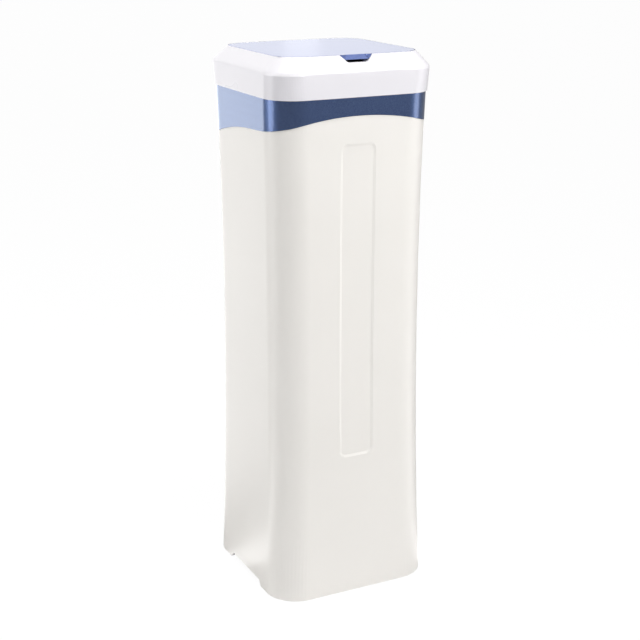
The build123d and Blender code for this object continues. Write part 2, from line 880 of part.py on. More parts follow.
with BuildPart() as valve_body:
    with BuildSketch(Plane.XY.offset(port_z - port_block_half_height)) as block_plan:
        with Locations((0, (port_block_back - port_block_front) / 2)):
            Rectangle(2 * port_block_half_width, port_block_back + port_block_front)
        chamfer(block_plan.vertices(), block_corner)
    extrude(amount=2 * port_block_half_height)
    chamfer(valve_body.faces().filter_by(Axis.Z).edges(), block_edge)
    # Neck, flange and waist below, disc chamber above
    add(drum(insert_bore - thread_gap, valve_low, flange_top))
    add(drum(valve_flange_radius, neck_face, flange_top))
    add(drum(valve_waist_radius, flange_top, port_z))
    add(drum(chamber_radius + chamber_wall, port_z, chamber_top))
    with Locations((0, port_block_back, port_z)):
        with Locations((-port_spread, 0, 0), (port_spread, 0, 0)):
            Cylinder(
                stub_radius, stub_length, rotation=(-90, 0, 0), align=(Align.CENTER, Align.CENTER, Align.MIN)
            )
            Cylinder(
                port_bore,
                stub_length + port_block_back,
                rotation=(-90, 0, 0),
                align=(Align.CENTER, Align.CENTER, Align.CENTER),
                mode=Mode.SUBTRACT,
            )
    # Drain port on the left
    with Locations((-port_block_half_width, 0, port_z)):
        Cylinder(
            drain_socket_radius + drain_port_wall,
            stub_length,
            rotation=(0, -90, 0),
            align=(Align.CENTER, Align.CENTER, Align.MIN),
        )
        Cylinder(drain_socket_radius, stub_length * 2, rotation=(0, -90, 0), mode=Mode.SUBTRACT)
    # Disc chamber, the ports under it, the riser's socket and the ring channel round that
    add(drum(chamber_radius + running_gap, chamber_low, chamber_top), mode=Mode.SUBTRACT)
    with Locations((0, 0, chamber_low)):
        with PolarLocations(disc_port_reach, 4, start_angle=45):
            Hole(disc_port_radius, depth=chamber_low - port_z)
    add(drum(riser_radius + running_gap, valve_low, riser_high), mode=Mode.SUBTRACT)
    add(drum(annulus_outer, valve_low, flange_top, annulus_inner), mode=Mode.SUBTRACT)
    riser_groove = neck_face + seal_seat
    add(drum(riser_radius + seal_width, riser_groove, riser_groove + seal_section), mode=Mode.SUBTRACT)
    add(
        drum(neck_radius - seal_seat, neck_face, neck_face + seal_section, insert_radius + seal_seat),
        mode=Mode.SUBTRACT,
    )
    # Blind holes for the bonnet screws
    with BuildSketch(Plane.XY.offset(chamber_top)):
        with PolarLocations(bonnet_screw_reach, bonnet_screw_count, start_angle=30):
            RegularPolygon(bonnet_screw_radius + screw_clearance, round_screw_sides)
    extrude(amount=-bonnet_screw_length, mode=Mode.SUBTRACT)
keep(valve_body, "valve_body")

with BuildPart() as neck_seal:
    add(
        drum(
            neck_radius - seal_seat - seal_squeeze,
            neck_face,
            neck_face + seal_section,
            insert_radius + seal_seat + seal_squeeze,
        )
    )
keep(neck_seal, "neck_seal")

with BuildPart() as riser_seal:
    seal_outside = riser_radius + seal_width - seal_squeeze
    add(drum(seal_outside, riser_groove, riser_groove + seal_section, riser_radius))
keep(riser_seal, "riser_seal")

# Ceramic discs: the lower one stands still, the upper one turns with the shaft
disc_split = chamber_low + disc_thickness
moving_top = disc_split + disc_thickness
carrier_top = moving_top + carrier_thickness
bonnet_top = chamber_top + bonnet_thickness
boss_top = bonnet_top + bonnet_boss_height
gear_low = bonnet_top + gear_rise
gear_top = gear_low + gear_thickness

with BuildPart() as fixed_disc:
    add(drum(chamber_radius - running_gap, chamber_low, disc_split))
    with Locations((0, 0, disc_split)):
        with PolarLocations(disc_port_reach, 4, start_angle=45):
            Hole(disc_port_radius)
keep(fixed_disc, "fixed_disc")

with BuildPart() as moving_disc:
    add(drum(chamber_radius - disc_gap, disc_split + running_gap, moving_top))
    # Two kidney pockets that join neighbouring ports
    with BuildSketch(Plane.XY.offset(disc_split)):
        for middle in (90, 270):
            SlotArc(CenterArc((0, 0), disc_port_reach, middle - 45, 90), 2 * disc_port_radius)
    extrude(amount=disc_thickness / 2, mode=Mode.SUBTRACT)
keep(moving_disc, "moving_disc")

with BuildPart() as disc_shaft:
    add(drum(chamber_radius - carrier_inset, moving_top, carrier_top))
    add(drum(shaft_radius, moving_top, gear_low))
    with BuildSketch(Plane.XY.offset(gear_low)):
        Circle(shaft_radius)
        with Locations((0, shaft_radius)):
            Rectangle(2 * shaft_radius, shaft_radius / 2, mode=Mode.SUBTRACT)
    extrude(amount=gear_thickness + shaft_overrun)
keep(disc_shaft, "disc_shaft")

with BuildPart() as bonnet:
    add(drum(chamber_radius + chamber_wall, chamber_top, bonnet_top))
    add(drum(chamber_radius - disc_gap, chamber_top - bonnet_spigot, chamber_top))
    add(drum(bonnet_boss_radius, bonnet_top, boss_top))
    add(drum(shaft_radius + running_gap, chamber_low, boss_top), mode=Mode.SUBTRACT)
    for level in groove_levels:
        groove = chamber_top + level
        add(drum(shaft_radius + seal_width, groove, groove + seal_section), mode=Mode.SUBTRACT)
    with BuildSketch(Plane.XY.offset(bonnet_top)):
        with PolarLocations(bonnet_screw_reach, bonnet_screw_count, start_angle=30):
            RegularPolygon(bonnet_screw_radius + screw_clearance, round_screw_sides)
    extrude(amount=-bonnet_thickness, mode=Mode.SUBTRACT)
keep(bonnet, "bonnet")

with BuildPart() as shaft_seals:
    for level in groove_levels:
        groove = chamber_top + level
        seal_outside = shaft_radius + seal_width - seal_squeeze
        add(drum(seal_outside, groove, groove + seal_section, shaft_radius + running_gap))
keep(shaft_seals, "shaft_seals")

with BuildPart() as bonnet_screws:
    for radius, sides, amount in (
        (bonnet_screw_head, 6, bonnet_boss_height),
        (bonnet_screw_radius, round_screw_sides, screw_seat_gap - bonnet_thickness - bonnet_screw_length),
    ):
        with BuildSketch(Plane.XY.offset(bonnet_top)):
            with PolarLocations(bonnet_screw_reach, bonnet_screw_count, start_angle=30):
                RegularPolygon(radius, sides)
        extrude(amount=amount)
keep(bonnet_screws, "bonnet_screws")

# Gear drive
gear_pitch = gear_module * gear_teeth / 2
pinion_pitch = gear_module * pinion_teeth / 2
centre_distance = gear_pitch + pinion_pitch


def gear_outline(teeth, first_turn):
    """Spur gear outline: involute flanks in two straight runs, thinned for backlash."""
    angle = radians(pressure_angle)
    pitch = gear_module * teeth / 2
    base = pitch * cos(angle)
    root = pitch - tooth_dedendum * gear_module
    tip = pitch + tooth_addendum * gear_module
    half_tooth = pi / (2 * teeth) - gear_backlash / (4 * pitch)
    flank_start = max(base, root)
    flank = []
    for radius in (flank_start, (flank_start + tip) / 2, tip):
        roll = acos(base / radius)
        flank.append((radius, half_tooth + tan(angle) - angle - tan(roll) + roll))
    if root < base:
        flank.insert(0, (root, flank[0][1]))
    corners = []
    for tooth in range(teeth):
        middle = first_turn + 2 * pi * tooth / teeth
        corners += [(radius * cos(middle - half), radius * sin(middle - half)) for radius, half in flank]
        down = reversed(flank)
        corners += [(radius * cos(middle + half), radius * sin(middle + half)) for radius, half in down]
    with BuildSketch() as outline:
        with BuildLine():
            Polyline(*corners, close=True)
        make_face()
    return outline.sketch


hub_radius = bonnet_boss_radius
web_radius = gear_pitch - 2 * gear_module - gear_rim

with BuildPart() as drive_gear:
    with BuildSketch(Plane.XY.offset(gear_low)):
        add(gear_outline(gear_teeth, 0))
        Circle(shaft_radius + running_gap, mode=Mode.SUBTRACT)
        with Locations((0, shaft_radius)):
            Rectangle(2 * shaft_radius, shaft_radius / 2 - 2 * running_gap)
        # Windows between straight spokes
        with PolarLocations((hub_radius + web_radius) / 2, gear_windows):
            Rectangle(web_radius - hub_radius - gear_rim, window_width, mode=Mode.SUBTRACT)
    extrude(amount=gear_thickness)
    # Thinned web between the rim and the hub
    with BuildSketch(Plane.XY.offset(gear_low + gear_web)):
        Circle(web_radius)
        Circle(hub_radius, mode=Mode.SUBTRACT)
    extrude(amount=gear_thickness, mode=Mode.SUBTRACT)
keep(drive_gear, "drive_gear")

motor_plate = bonnet_top + base_rise
plate_top = motor_plate + base_thickness

with BuildPart() as motor_pinion:
    with BuildSketch(Plane.XY.offset(gear_low - pinion_overlap)):
        with Locations((centre_distance, 0)):
            add(gear_outline(pinion_teeth, pi / pinion_teeth))
    extrude(amount=gear_thickness + 2 * pinion_overlap)
    with BuildSketch(Plane.XY.offset(gear_top + pinion_overlap)):
        with Locations((centre_distance, 0)):
            Circle(motor_shaft_radius)
    extrude(amount=plate_top + motor_shaft_reach - gear_top - pinion_overlap)
keep(motor_pinion, "motor_pinion")

def motor_ears():
    """The places of the motor's two screws on the head base."""
    ear_reach = motor_radius + motor_ear
    return Locations((centre_distance - ear_reach, 0), (centre_distance + ear_reach, 0))


with BuildPart() as drive_motor:
    # Mounting strip, gearbox and can
    with BuildSketch(Plane.XY.offset(plate_top)):
        with Locations((centre_distance, 0)):
            Rectangle(2 * (motor_radius + 2 * motor_ear), 2 * motor_ear)
        with motor_ears():
            RegularPolygon(motor_screw_radius + screw_clearance, round_screw_sides, mode=Mode.SUBTRACT)
    extrude(amount=cover_wall)
    with BuildSketch(Plane.XY.offset(plate_top)) as gearbox:
        with Locations((centre_distance, 0)):
            Rectangle(2 * motor_radius, 2 * motor_radius)
        chamfer(gearbox.vertices(), motor_ear)
    extrude(amount=gearbox_height)
    with BuildSketch(Plane.XY.offset(plate_top + gearbox_height)):
        with Locations((centre_distance, 0)):
            Circle(motor_can_radius)
    extrude(amount=motor_can_height)
    with BuildSketch(Plane.XY.offset(plate_top)):
        with Locations((centre_distance, 0)):
            Circle(motor_shaft_radius + running_gap)
    extrude(amount=motor_shaft_reach + shaft_overrun, mode=Mode.SUBTRACT)
keep(drive_motor, "drive_motor")

with BuildPart() as motor_screws:
    for radius, sides, start, amount in (
        (motor_screw_radius, round_screw_sides, plate_top - cover_wall, 2 * cover_wall),
        (motor_screw_head, 6, plate_top + cover_wall, motor_screw_head_height),
    ):
        with BuildSketch(Plane.XY.offset(start)):
            with motor_ears():
                RegularPolygon(radius, sides)
        extrude(amount=amount)
keep(motor_screws, "motor_screws")

# Head base: a plate on four pillars that carries the motor and the cover
cover_low = motor_plate - cover_skirt
inside_half = cover_half_width - cover_wall - trim_gap
inside_front = cover_front - cover_wall - trim_gap
inside_back = cover_back - cover_wall - trim_gap

with BuildPart() as head_base:
    with BuildSketch(Plane.XY.offset(motor_plate)) as plate:
        with Locations((0, (inside_back - inside_front) / 2)):
            Rectangle(2 * inside_half, inside_back + inside_front)
        chamfer(plate.vertices(), cover_corner - (cover_wall + trim_gap) * (2 - sqrt(2)))
        with Locations((centre_distance, 0)):
            Circle(motor_shaft_hole, mode=Mode.SUBTRACT)
        with Locations((0, (inside_back - inside_front) / 2)):
            with GridLocations(
                2 * (inside_half - plate_hole_inset), inside_back + inside_front - 2 * plate_hole_inset, 2, 2
            ):
                RegularPolygon(pillar_radius, 6, mode=Mode.SUBTRACT)
        with motor_ears():
            RegularPolygon(motor_screw_radius + screw_clearance, round_screw_sides, mode=Mode.SUBTRACT)
    extrude(amount=base_thickness)
    with BuildSketch(Plane.XY.offset(bonnet_top)):
        for turn in (60, 120, 240, 300):
            with PolarLocations(bonnet_screw_reach, 1, start_angle=turn):
                RegularPolygon(pillar_radius, 6)
    extrude(amount=base_rise)
keep(head_base, "head_base")

# Head cover with a tilted panel towards the user
tilt = degrees(atan2(cover_height - cover_front_height, cover_slope_run))
panel_centre = cover_slope_run / 2 - cover_front
panel_mid = cover_low + (cover_height + cover_front_height) / 2
panel_normal = Vector(0, 0, 1).rotate(Axis.X, tilt)
panel = Plane(origin=(0, panel_centre, panel_mid), x_dir=(1, 0, 0), z_dir=panel_normal)
button_places = {
    "button_menu": -1.5 * button_spacing,
    "button_up": -0.5 * button_spacing,
    "button_down": 0.5 * button_spacing,
    "button_enter": 1.5 * button_spacing,
}
cover_middle = (cover_back - cover_front) / 2
socket_place = (socket_shift, cover_low + cover_height / 2)

with BuildPart() as head_cover:
    with BuildSketch(Plane.YZ):
        with BuildLine():
            Polyline(
                (-cover_front, cover_low),
                (-cover_front, cover_low + cover_front_height),
                (cover_slope_run - cover_front, cover_low + cover_height),
                (cover_back, cover_low + cover_height),
                (cover_back, cover_low),
                close=True,
            )
        make_face()
    extrude(amount=cover_half_width, both=True)
    chamfer(head_cover.edges().filter_by(Axis.Z), cover_corner)
    roof = [
        head_cover.faces().sort_by(Axis.Z)[-1],
        head_cover.faces().filter_by(Plane(origin=panel.origin, z_dir=panel.z_dir)).sort_by(SortBy.AREA)[-1],
    ]
    ridge = head_cover.edges().filter_by(Axis.X).filter_by(
        lambda edge: abs(edge.center().Y - cover_slope_run + cover_front) < 1
    )
    chamfer([edge for face in roof for edge in face.edges() if edge not in ridge], cover_edge)
    offset(amount=-cover_wall, openings=head_cover.faces().sort_by(Axis.Z)[0])
    # Inner ledge that sits on the base plate
    with BuildSketch(Plane.XY.offset(plate_top)) as ledge:
        with Locations((0, cover_middle)):
            Rectangle(2 * cover_half_width - cover_wall, cover_back + cover_front - cover_wall)
        chamfer(ledge.vertices(), cover_corner - cover_wall / 2)
        offset(amount=-cover_ledge_walls * cover_wall, mode=Mode.SUBTRACT)
    extrude(amount=cover_wall)
    # Bosses that carry the board under the panel
    with BuildSketch(panel.offset(-cover_wall / 2)):
        with GridLocations(board_width - 2 * board_inset, board_depth - 2 * board_inset, 2, 2):
            RegularPolygon(pillar_radius, 6)
    extrude(amount=cover_wall / 2 - board_drop)
    # Display window with a seat for its lens, and the button holes
    with BuildSketch(panel):
        with Locations((0, lens_shift)):
            Rectangle(lens_width + 2 * trim_gap, lens_depth + 2 * trim_gap)
    extrude(amount=-lens_thickness, mode=Mode.SUBTRACT)
    with BuildSketch(panel):
        with Locations((0, lens_shift)):
            Rectangle(lens_width - 2 * lens_seat, lens_depth - 2 * lens_seat)
        for place in button_places.values():
            with Locations((place, button_shift)):
                Rectangle(button_width + 2 * button_gap, button_depth + 2 * button_gap)
    extrude(amount=-2 * cover_wall, mode=Mode.SUBTRACT)
    # Hole for the power socket in the back wall
    with BuildSketch(Plane.XZ.offset(-cover_back)):
        with Locations(socket_place):
            Circle(socket_radius)
    extrude(amount=2 * cover_wall, mode=Mode.SUBTRACT)
keep(head_cover, "head_cover")

with BuildPart() as display_lens:
    with BuildSketch(panel.offset(-lens_thickness)):
        with Locations((0, lens_shift)):
            Rectangle(lens_width, lens_depth)
    extrude(amount=lens_thickness)
keep(display_lens, "display_lens")

with BuildPart() as lcd_module:
    with BuildSketch(panel.offset(-board_drop)):
        with Locations((0, lens_shift)):
            Rectangle(lens_width + lens_seat, lens_depth + lens_seat)
    extrude(amount=board_drop - cover_wall - trim_gap)
    with BuildSketch(panel.offset(-cover_wall - trim_gap)):
        with Locations((0, lens_shift)):
            Rectangle(lens_width - 3 * lens_seat, lens_depth - 3 * lens_seat)
    extrude(amount=cover_wall - lens_thickness)
keep(lcd_module, "lcd_module")

with BuildPart() as control_board:
    with BuildSketch(panel.offset(-board_drop - board_thickness)):
        Rectangle(board_width, board_depth)
    extrude(amount=board_thickness)
    with BuildSketch(panel.offset(-board_drop)):
        for place in button_places.values():
            with Locations((place, button_shift)):
                Rectangle(switch_size, switch_size)
    extrude(amount=switch_height)
    # Controller chip and plug header on the underside
    with BuildSketch(panel.offset(-board_drop - board_thickness)):
        with Locations((-2 * button_spacing, 0)):
            Rectangle(2 * switch_size, 2 * switch_size)
        with Locations((button_spacing, 0)):
            Rectangle(4 * switch_size, switch_size)
    extrude(amount=-switch_height)
keep(control_board, "control_board")

for name, place in button_places.items():
    flange_high = cover_wall + rest_gap
    flange_low = flange_high + button_flange
    stem_low = board_drop - switch_height - button_travel - rest_gap
    with BuildPart() as button:
        with BuildSketch(panel.offset(-flange_high)):
            with Locations((place, button_shift)):
                Rectangle(button_width, button_depth)
        extrude(amount=flange_high + button_rise)
        crown = button.faces().sort_by(Axis(panel.origin, panel.z_dir))[-1]
        chamfer(crown.edges(), button_edge)
        with BuildSketch(panel.offset(-flange_low)):
            with Locations((place, button_shift)):
                Rectangle(button_width + 2 * button_flange, button_depth + 2 * button_flange)
        extrude(amount=button_flange)
        with BuildSketch(panel.offset(-stem_low)):
            with Locations((place, button_shift)):
                Rectangle(button_stem, button_stem)
        extrude(amount=stem_low - flange_low)
    keep(button, name)

with BuildPart() as power_socket:
    with BuildSketch(Plane.XZ.offset(-cover_back)):
        with Locations(socket_place):
            Rectangle(socket_plate, socket_plate)
    extrude(amount=-socket_plate_thickness)
    with BuildSketch(Plane.XZ.offset(-cover_back)):
        with Locations(socket_place):
            Circle(socket_radius - running_gap)
    extrude(amount=socket_depth + cover_wall)
    with BuildSketch(Plane.XZ.offset(-cover_back - socket_plate_thickness)):
        with Locations(socket_place):
            Circle(socket_bore)
            Circle(socket_pin, mode=Mode.SUBTRACT)
    extrude(amount=socket_depth, mode=Mode.SUBTRACT)
keep(power_socket, "power_socket")

# Inlet and outlet connectors with their union nuts and gaskets
stub_end = port_block_back + stub_length
flange_start = stub_end + gasket_thickness
flange_end = flange_start + connector_flange_thickness
hex_end = skin_half(port_z)
nut_start = stub_end - nut_grip


def rod(x, radius, start, end, bore=0.0):
    """A round piece along +Y at the ports' height."""
    with BuildPart() as piece:
        with BuildSketch(Plane.XZ.offset(-start)):
            with Locations((x, port_z)):
                Circle(radius)
                if bore:
                    Circle(bore, mode=Mode.SUBTRACT)
        extrude(amount=start - end)
    return piece.part


for name, x in (("inlet", -port_spread), ("outlet", port_spread)):
    with BuildPart() as connector:
        add(rod(x, connector_flange_radius, flange_start, flange_end))
        add(rod(x, connector_barrel_radius, flange_end, hex_end))
        with BuildSketch(Plane.XZ.offset(connector_hex_length - hex_end)):
            with Locations((x, port_z)):
                RegularPolygon(connector_hex / 2, 6, major_radius=False)
        extrude(amount=-connector_hex_length)
        add(rod(x, connector_thread_radius, hex_end, hex_end + connector_thread_length))
        add(rod(x, port_bore, flange_start, hex_end + connector_thread_length), mode=Mode.SUBTRACT)
    keep(connector, f"{name}_connector")
    with BuildPart() as nut:
        with BuildSketch(Plane.XZ.offset(-nut_start)):
            with Locations((x, port_z)):
                RegularPolygon(nut_radius, nut_sides)
        extrude(amount=nut_start - flange_end - nut_lip)
        add(rod(x, stub_radius + running_gap, nut_start, flange_end + running_gap), mode=Mode.SUBTRACT)
        add(rod(x, connector_barrel_radius + trim_gap, nut_start, flange_end + nut_lip), mode=Mode.SUBTRACT)
    keep(nut, f"{name}_nut")

with BuildPart() as connector_gaskets:
    for x in (-port_spread, port_spread):
        add(rod(x, connector_flange_radius, stub_end, flange_start, port_bore + gasket_inset))
keep(connector_gaskets, "connector_gaskets")

# Drain elbow with its clip and flow restrictor
drain_face = port_block_half_width + stub_length
drain_well = port_block_half_width - stub_length
drain_turn = drain_face + drain_side_reach


def side_rod(radius, start, end, bore=0.0):
    """A round piece along -X at the ports' height."""
    with BuildPart() as piece:
        with BuildSketch(Plane.YZ.offset(-start)):
            with Locations((0, port_z)):
                Circle(radius)
                if bore:
                    Circle(bore, mode=Mode.SUBTRACT)
        extrude(amount=start - end)
    return piece.part


with BuildPart() as drain_flow_restrictor:
    add(side_rod(drain_socket_radius - running_gap, drain_well, drain_well + nut_lip, drain_bore / 2))
keep(drain_flow_restrictor, "drain_flow_restrictor")

with BuildPart() as drain_elbow:
    add(side_rod(drain_socket_radius - running_gap, drain_well + nut_lip + trim_gap, drain_face))
    add(side_rod(drain_socket_radius - drain_neck_inset, drain_face, drain_face + gasket_thickness))
    collar_start = drain_face + gasket_thickness
    add(side_rod(drain_socket_radius + drain_collar_width, collar_start, collar_start + gasket_thickness))
    with BuildLine() as drain_path:
        FilletPolyline(
            (-drain_face, 0, port_z),
            (-drain_turn, 0, port_z),
            (-drain_turn, drain_back_reach, port_z),
            radius=2.5 * drain_radius,
        )
    with BuildSketch(Plane((-drain_face, 0, port_z), z_dir=(-1, 0, 0))):
        Circle(drain_radius)
    sweep(path=drain_path.wires()[0])
    add(side_rod(drain_bore, drain_well, drain_face), mode=Mode.SUBTRACT)
    with BuildSketch(Plane((-drain_face, 0, port_z), z_dir=(-1, 0, 0))):
        Circle(drain_bore)
    sweep(path=drain_path.wires()[0], mode=Mode.SUBTRACT)
keep(drain_elbow, "drain_elbow")

clip_bore = drain_socket_radius - drain_neck_inset + running_gap

with BuildPart() as drain_clip:
    with BuildSketch(Plane.YZ.offset(-drain_face - running_gap)):
        with Locations((0, port_z + clip_lift)):
            clip_side = 2 * (drain_socket_radius + drain_port_wall)
            Rectangle(clip_side, clip_side)
        with Locations((0, port_z)):
            Circle(clip_bore, mode=Mode.SUBTRACT)
            clip_mouth = 3 * drain_socket_radius
            Rectangle(2 * clip_bore, clip_mouth, align=(Align.CENTER, Align.MAX), mode=Mode.SUBTRACT)
    extrude(amount=2 * running_gap - gasket_thickness)
keep(drain_clip, "drain_clip")
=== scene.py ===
import json
from math import pi, radians

import bmesh
import bpy
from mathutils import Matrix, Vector

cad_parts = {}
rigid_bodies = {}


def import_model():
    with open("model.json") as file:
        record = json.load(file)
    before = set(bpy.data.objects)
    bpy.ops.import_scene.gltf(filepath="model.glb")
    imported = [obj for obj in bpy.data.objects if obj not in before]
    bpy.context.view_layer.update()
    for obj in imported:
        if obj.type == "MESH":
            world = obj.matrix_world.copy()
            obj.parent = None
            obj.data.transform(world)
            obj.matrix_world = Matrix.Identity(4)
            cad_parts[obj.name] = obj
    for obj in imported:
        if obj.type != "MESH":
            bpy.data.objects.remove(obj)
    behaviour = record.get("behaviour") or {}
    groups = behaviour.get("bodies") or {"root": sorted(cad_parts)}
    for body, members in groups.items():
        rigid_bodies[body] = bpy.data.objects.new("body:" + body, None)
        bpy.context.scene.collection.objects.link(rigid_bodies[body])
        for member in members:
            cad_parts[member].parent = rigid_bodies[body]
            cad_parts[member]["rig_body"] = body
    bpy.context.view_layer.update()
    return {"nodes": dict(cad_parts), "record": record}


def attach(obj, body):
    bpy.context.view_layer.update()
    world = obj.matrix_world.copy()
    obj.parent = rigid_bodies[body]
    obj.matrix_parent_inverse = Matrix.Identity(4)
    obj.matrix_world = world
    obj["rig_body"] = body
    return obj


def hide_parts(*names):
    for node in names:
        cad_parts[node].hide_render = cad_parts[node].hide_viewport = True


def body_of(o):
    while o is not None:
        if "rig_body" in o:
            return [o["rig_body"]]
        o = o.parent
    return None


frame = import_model()
nodes = frame["nodes"]
slot_of = {part["node"]: part["material_slot"] for part in frame["record"]["subparts"]}

# Camera, fitted to the photograph
lens_mm = 76.46
sensor_mm = 36.0
camera_place = Vector((-1.2104, -2.4210, 1.3769))
camera_heading = radians(26.6)
camera_drop = radians(17.206)

camera_data = bpy.data.cameras.new("camera")
camera_data.lens = lens_mm
camera_data.sensor_width = sensor_mm
camera = bpy.data.objects.new("camera", camera_data)
bpy.context.collection.objects.link(camera)
camera.location = camera_place
camera.rotation_euler = (pi / 2 - camera_drop, 0.0, -camera_heading)
bpy.context.scene.camera = camera
bpy.context.scene.view_settings.view_transform = "Standard"

# Light levels: the floor's white to the eye and how evenly it shows, what mirrors see, and the even surround
floor_seen = 1.03
floor_even = 0.93
floor_front = 0.28
floor_back = 1.85
room_front = 0.3
room_back = 1.15
side_boxes = 2.1
surround_level = 0.29
backdrop_level = 1.0

# Where mirrors see the back wall and the two side softboxes: level directions, and where each fades in
side_box_ways = ((-0.955, 0.297, 0.0), (0.91, -0.415, 0.0))
side_box_fade = (0.966, 0.996)
back_wall_fade = (0.76, 0.88)
floor_size = 60.0

# Grain, flakes and gloss of the finishes; depths and distances are in metres
white = (1.0, 1.0, 1.0, 1.0)
mould_grain = 900.0
mould_depth = 0.00002
mould_strength = 0.35
mould_coat_roughness = 0.12
steel_grain = 2200.0
steel_roughness = (0.22, 0.4)
steel_strength = 0.2
steel_depth = 0.00001
flake_scale = 2500.0
flake_metal = 0.75
flake_roughness = 0.28
flake_strength = 0.12
flake_depth = 0.00002
lens_roughness = 0.04
floor_roughness = 0.6

# Merged copies of the CAD nodes
merge_distance = 0.000005
shell_angle = radians(15)

# Screws: facets round each part, and the heads' details as shares of their height or radius
head_sides = 32
hexagon_sides = 6
shank_sides = 20
round_edge = 0.3
hexagon_edge = 0.12
edge_steps = 3
recess_length = 1.15
recess_width = 0.3
recess_height = 1.1
screw_angle = radians(35)
same_level = 0.0005


def linear(red, green, blue):
    """An sRGB colour out of 255 as the linear colour that a shader socket takes."""
    channels = []
    for value in (red, green, blue):
        share = value / 255
        channels.append(share / 12.92 if share <= 0.04045 else ((share + 0.055) / 1.055) ** 2.4)
    return (*channels, 1.0)


# Node groups that several finishes share
def group_sockets(group, inputs, outputs):
    """The group's input and output nodes, after its sockets of plain numbers are made."""
    for name, value in inputs.items():
        socket = group.interface.new_socket(name, in_out="INPUT", socket_type="NodeSocketFloat")
        socket.default_value = value
    for name in outputs:
        group.interface.new_socket(name, in_out="OUTPUT", socket_type="NodeSocketFloat")
    return group.nodes.new("NodeGroupInput"), group.nodes.new("NodeGroupOutput")


def moulded_skin_group():
    """Fine spark-eroded grain and slow flow marks of moulded plastic."""
    group = bpy.data.node_groups.new("moulded_skin", "ShaderNodeTree")
    given, result = group_sockets(
        group,
        {"Grain Scale": mould_grain, "Flow Scale": 4.0, "Rough Low": 0.35, "Rough High": 0.45},
        ("Roughness", "Height", "Cloud"),
    )
    make, join = group.nodes.new, group.links.new
    place = make("ShaderNodeTexCoord")
    noises = {}
    for name, detail in (("Grain Scale", 3.0), ("Flow Scale", 2.0)):
        noise = make("ShaderNodeTexNoise")
        noise.inputs["Detail"].default_value = detail
        join(place.outputs["Object"], noise.inputs["Vector"])
        join(given.outputs[name], noise.inputs["Scale"])
        noises[name] = noise.outputs["Fac"]
    rough = make("ShaderNodeMapRange")
    rough.inputs["From Min"].default_value = 0.3
    rough.inputs["From Max"].default_value = 0.7
    join(noises["Flow Scale"], rough.inputs["Value"])
    join(given.outputs["Rough Low"], rough.inputs["To Min"])
    join(given.outputs["Rough High"], rough.inputs["To Max"])
    join(rough.outputs["Result"], result.inputs["Roughness"])
    join(noises["Grain Scale"], result.inputs["Height"])
    join(noises["Flow Scale"], result.inputs["Cloud"])
    return group


def lacquer_flake_group():
    """Metal flakes under lacquer: small cells that each lean and shine a little differently."""
    group = bpy.data.node_groups.new("lacquer_flake", "ShaderNodeTree")
    given, result = group_sockets(group, {"Flake Scale": flake_scale}, ("Sparkle", "Height"))
    make, join = group.nodes.new, group.links.new
    place = make("ShaderNodeTexCoord")
    cells = make("ShaderNodeTexVoronoi")
    join(place.outputs["Object"], cells.inputs["Vector"])
    join(given.outputs["Flake Scale"], cells.inputs["Scale"])
    split = make("ShaderNodeSeparateColor")
    join(cells.outputs["Color"], split.inputs["Color"])
    join(split.outputs["Red"], result.inputs["Sparkle"])
    join(split.outputs["Green"], result.inputs["Height"])
    return group


moulded_skin = moulded_skin_group()
lacquer_flake = lacquer_flake_group()


# Finishes
def finish(name, colour, roughness=0.5, metallic=0.0):
    """A new material with its Principled shader at these constants."""
    material = bpy.data.materials.new(name)
    material.use_nodes = True
    shader = material.node_tree.nodes["Principled BSDF"]
    shader.inputs["Base Color"].default_value = colour
    shader.inputs["Roughness"].default_value = roughness
    shader.inputs["Metallic"].default_value = metallic
    return material, shader


def use_group(material, group, **values):
    """The group as a node of the material, with its own values."""
    node = material.node_tree.nodes.new("ShaderNodeGroup")
    node.node_tree = group
    for name, value in values.items():
        node.inputs[name.replace("_", " ")].default_value = value
    return node


def bump_from(material, shader, height, strength, distance):
    """Bump from a height between 0 and 1."""
    bump = material.node_tree.nodes.new("ShaderNodeBump")
    bump.inputs["Strength"].default_value = strength
    bump.inputs["Distance"].default_value = distance
    material.node_tree.links.new(height, bump.inputs["Height"])
    material.node_tree.links.new(bump.outputs["Normal"], shader.inputs["Normal"])


def tint(material, shader, mask, first, second):
    """Base Color from one colour to another by a mask."""
    mix = material.node_tree.nodes.new("ShaderNodeMix")
    mix.data_type = "RGBA"
    mix.inputs["A"].default_value = first
    mix.inputs["B"].default_value = second
    material.node_tree.links.new(mask, mix.inputs["Factor"])
    material.node_tree.links.new(mix.outputs["Result"], shader.inputs["Base Color"])


def moulded_plastic(name, colour, cloud, roughness, grain=mould_grain, depth=mould_depth, coat=0.0):
    """Moulded plastic with grain; cloud is the darker colour of its faint flow marks."""
    material, shader = finish(name, linear(*colour))
    low, high = roughness
    skin = use_group(material, moulded_skin, Grain_Scale=grain, Rough_Low=low, Rough_High=high)
    material.node_tree.links.new(skin.outputs["Roughness"], shader.inputs["Roughness"])
    tint(material, shader, skin.outputs["Cloud"], linear(*cloud), linear(*colour))
    bump_from(material, shader, skin.outputs["Height"], mould_strength, depth)
    shader.inputs["Coat Weight"].default_value = coat
    shader.inputs["Coat Roughness"].default_value = mould_coat_roughness
    return material


def metallic_lacquer(name, colour, deep, edge, coat_roughness):
    """Blue lacquer over metal flakes; edge tints what it mirrors at a glancing angle."""
    material, shader = finish(name, linear(*colour), flake_roughness, flake_metal)
    shader.inputs["Specular Tint"].default_value = edge
    flake = use_group(material, lacquer_flake)
    tint(material, shader, flake.outputs["Sparkle"], linear(*deep), linear(*colour))
    bump_from(material, shader, flake.outputs["Height"], flake_strength, flake_depth)
    shader.inputs["Coat Weight"].default_value = 1.0
    shader.inputs["Coat Roughness"].default_value = coat_roughness
    return material


